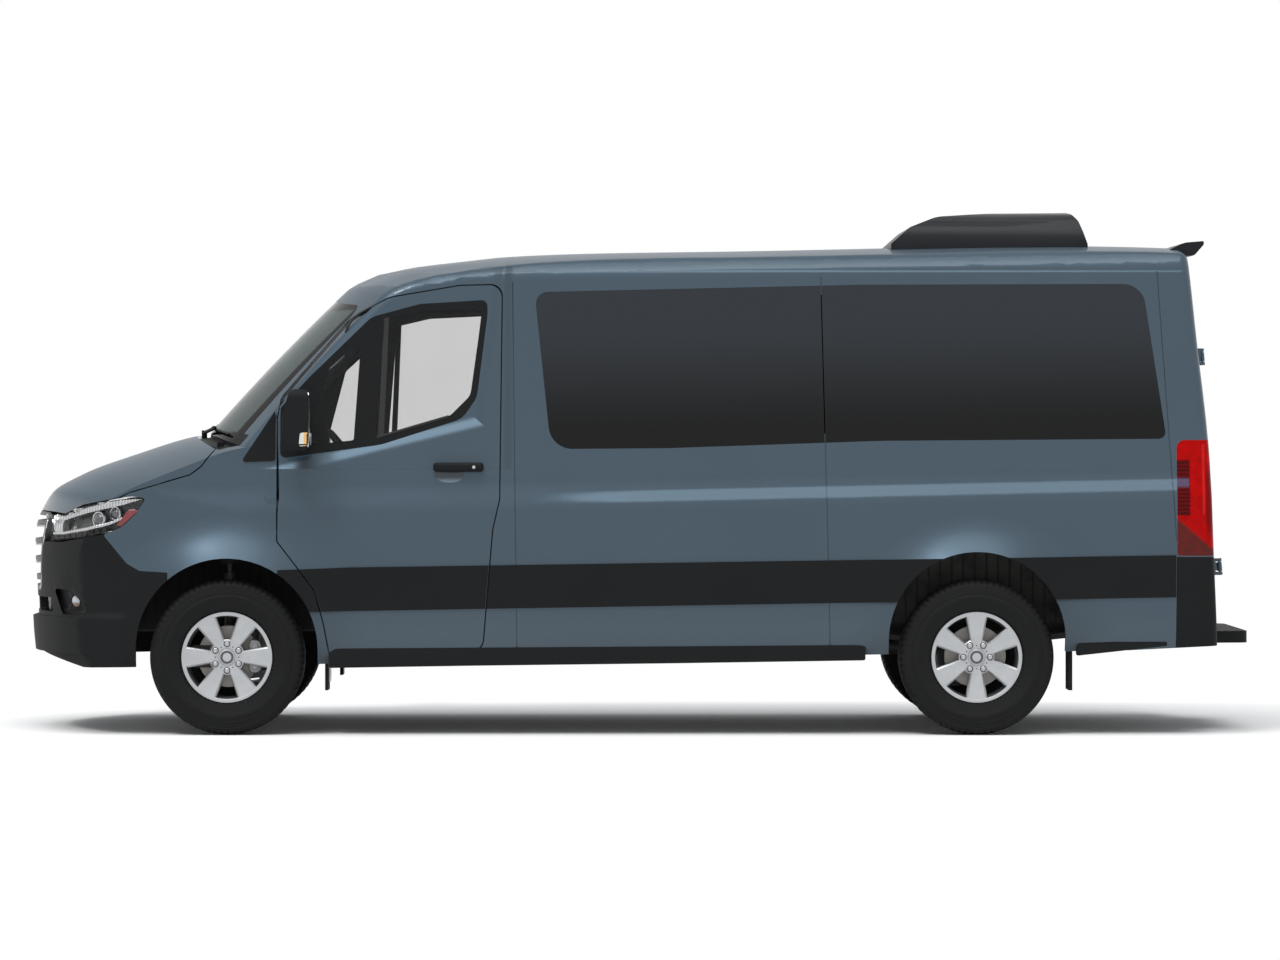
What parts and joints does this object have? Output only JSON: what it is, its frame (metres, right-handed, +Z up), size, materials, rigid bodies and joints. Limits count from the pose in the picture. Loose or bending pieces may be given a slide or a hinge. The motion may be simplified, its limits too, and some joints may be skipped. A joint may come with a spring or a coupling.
{
  "type": "minibus",
  "caption": "High-sided passenger minibus with hinged front and rear doors, hinged hood, steered front wheels, four spinning wheels, roof air unit and rear step.",
  "frame": {"origin": "On the road plane, under the middle of the overall length and width.", "axes": "+X runs to the rear of the vehicle, +Y to its right side, +Z up."},
  "size_m": [6.0744, 2.475, 2.5757],
  "materials": {
    "paint": "satin",
    "black_plastic": "matte",
    "clear_glass": "gloss",
    "dark_glass": "gloss",
    "lamp_clear": "gloss",
    "lamp_red": "gloss",
    "bright_trim": "polished",
    "alloy": "satin",
    "tyre": "matte",
    "frame_steel": "satin",
    "cast_metal": "rough",
    "bare_steel": "satin",
    "cabin_plastic": "matte",
    "cabin_grey": "matte",
    "seat_fabric": "matte",
    "roof_shell": "satin"
  },
  "bodies": {
    "body": {"roof": "paint", "windscreen": "clear_glass", "cowl": "black_plastic", "front_bumper": "black_plastic", "grille": "bright_trim", "headlamps": "lamp_clear", "front_wings": "paint", "side_left": "paint", "side_right": "paint", "sliding_door": "paint", "side_glass": "dark_glass", "black_trim": "black_plastic", "rear_bumper": "black_plastic", "tail_lamps": "lamp_red", "front_suspension": "frame_steel", "wheelhouses": "cabin_plastic", "floor": "cabin_grey", "chassis": "frame_steel", "engine": "cast_metal", "rear_axle": "frame_steel", "fuel_tank": "cabin_plastic", "exhaust": "bare_steel", "roof_unit": "roof_shell", "roof_lip": "roof_shell", "dashboard": "cabin_plastic", "seat_frames": "frame_steel", "seat_pads": "seat_fabric"},
    "hood": {"hood": "paint"},
    "door_left": {"door_left": "paint", "door_left_glass": "clear_glass", "door_left_trim": "black_plastic"},
    "door_right": {"door_right": "paint", "door_right_glass": "clear_glass", "door_right_trim": "black_plastic"},
    "rear_door_left": {"rear_door_left": "paint", "rear_door_left_glass": "dark_glass"},
    "rear_door_right": {"rear_door_right": "paint", "rear_door_right_glass": "dark_glass"},
    "knuckle_left": {"knuckle_left": "cast_metal"},
    "knuckle_right": {"knuckle_right": "cast_metal"},
    "steering_wheel": {"steering_wheel": "cabin_plastic"},
    "wheel_front_left": {"tyre_front_left": "tyre", "rim_front_left": "alloy"},
    "wheel_front_right": {"tyre_front_right": "tyre", "rim_front_right": "alloy"},
    "wheel_rear_left": {"tyre_rear_left": "tyre", "rim_rear_left": "alloy"},
    "wheel_rear_right": {"tyre_rear_right": "tyre", "rim_rear_right": "alloy"}
  },
  "joints": [
    {"name": "steer_left", "type": "hinge", "parent": "body", "child": "knuckle_left", "pos_m": [-2.003, -0.705, 0.38], "axis": [0, 0, 1], "range_deg": [-36, 36]},
    {"name": "steer_right", "type": "hinge", "parent": "body", "child": "knuckle_right", "pos_m": [-2.003, 0.705, 0.38], "axis": [0, 0, 1], "range_deg": [-36, 36]},
    {"name": "steering_wheel_turn", "type": "hinge", "parent": "body", "child": "steering_wheel", "pos_m": [-1.403, -0.48, 1.33], "axis": [0.788, 0, 0.6157], "range_deg": [-540, 540]},
    {"name": "wheel_front_left_spin", "type": "hinge", "parent": "knuckle_left", "child": "wheel_front_left", "pos_m": [-2.003, -0.856, 0.38], "axis": [0, 1, 0], "continuous": true},
    {"name": "wheel_front_right_spin", "type": "hinge", "parent": "knuckle_right", "child": "wheel_front_right", "pos_m": [-2.003, 0.856, 0.38], "axis": [0, 1, 0], "continuous": true},
    {"name": "wheel_rear_left_spin", "type": "hinge", "parent": "body", "child": "wheel_rear_left", "pos_m": [1.662, -0.856, 0.38], "axis": [0, 1, 0], "continuous": true},
    {"name": "wheel_rear_right_spin", "type": "hinge", "parent": "body", "child": "wheel_rear_right", "pos_m": [1.662, 0.856, 0.38], "axis": [0, 1, 0], "continuous": true},
    {"name": "door_left_open", "type": "hinge", "parent": "body", "child": "door_left", "pos_m": [-1.789, -0.986, 1.055], "axis": [0, 0, -1], "range_deg": [0, 70]},
    {"name": "door_right_open", "type": "hinge", "parent": "body", "child": "door_right", "pos_m": [-1.789, 0.986, 1.055], "axis": [0, 0, 1], "range_deg": [0, 70]},
    {"name": "rear_door_left_open", "type": "hinge", "parent": "body", "child": "rear_door_left", "pos_m": [2.8595, -0.805, 0.88], "axis": [0.0836, 0, -0.9965], "range_deg": [0, 180]},
    {"name": "rear_door_right_open", "type": "hinge", "parent": "body", "child": "rear_door_right", "pos_m": [2.8595, 0.805, 0.88], "axis": [-0.0836, 0, 0.9965], "range_deg": [0, 180]},
    {"name": "hood_open", "type": "hinge", "parent": "body", "child": "hood", "pos_m": [-2.048, 0, 1.418], "axis": [0, 1, 0], "range_deg": [0, 50]}
  ],
  "couplings": [
    {"joint": "steer_right", "follows": "steer_left", "ratio": 1},
    {"joint": "steering_wheel_turn", "follows": "steer_left", "ratio": 15}
  ]
}
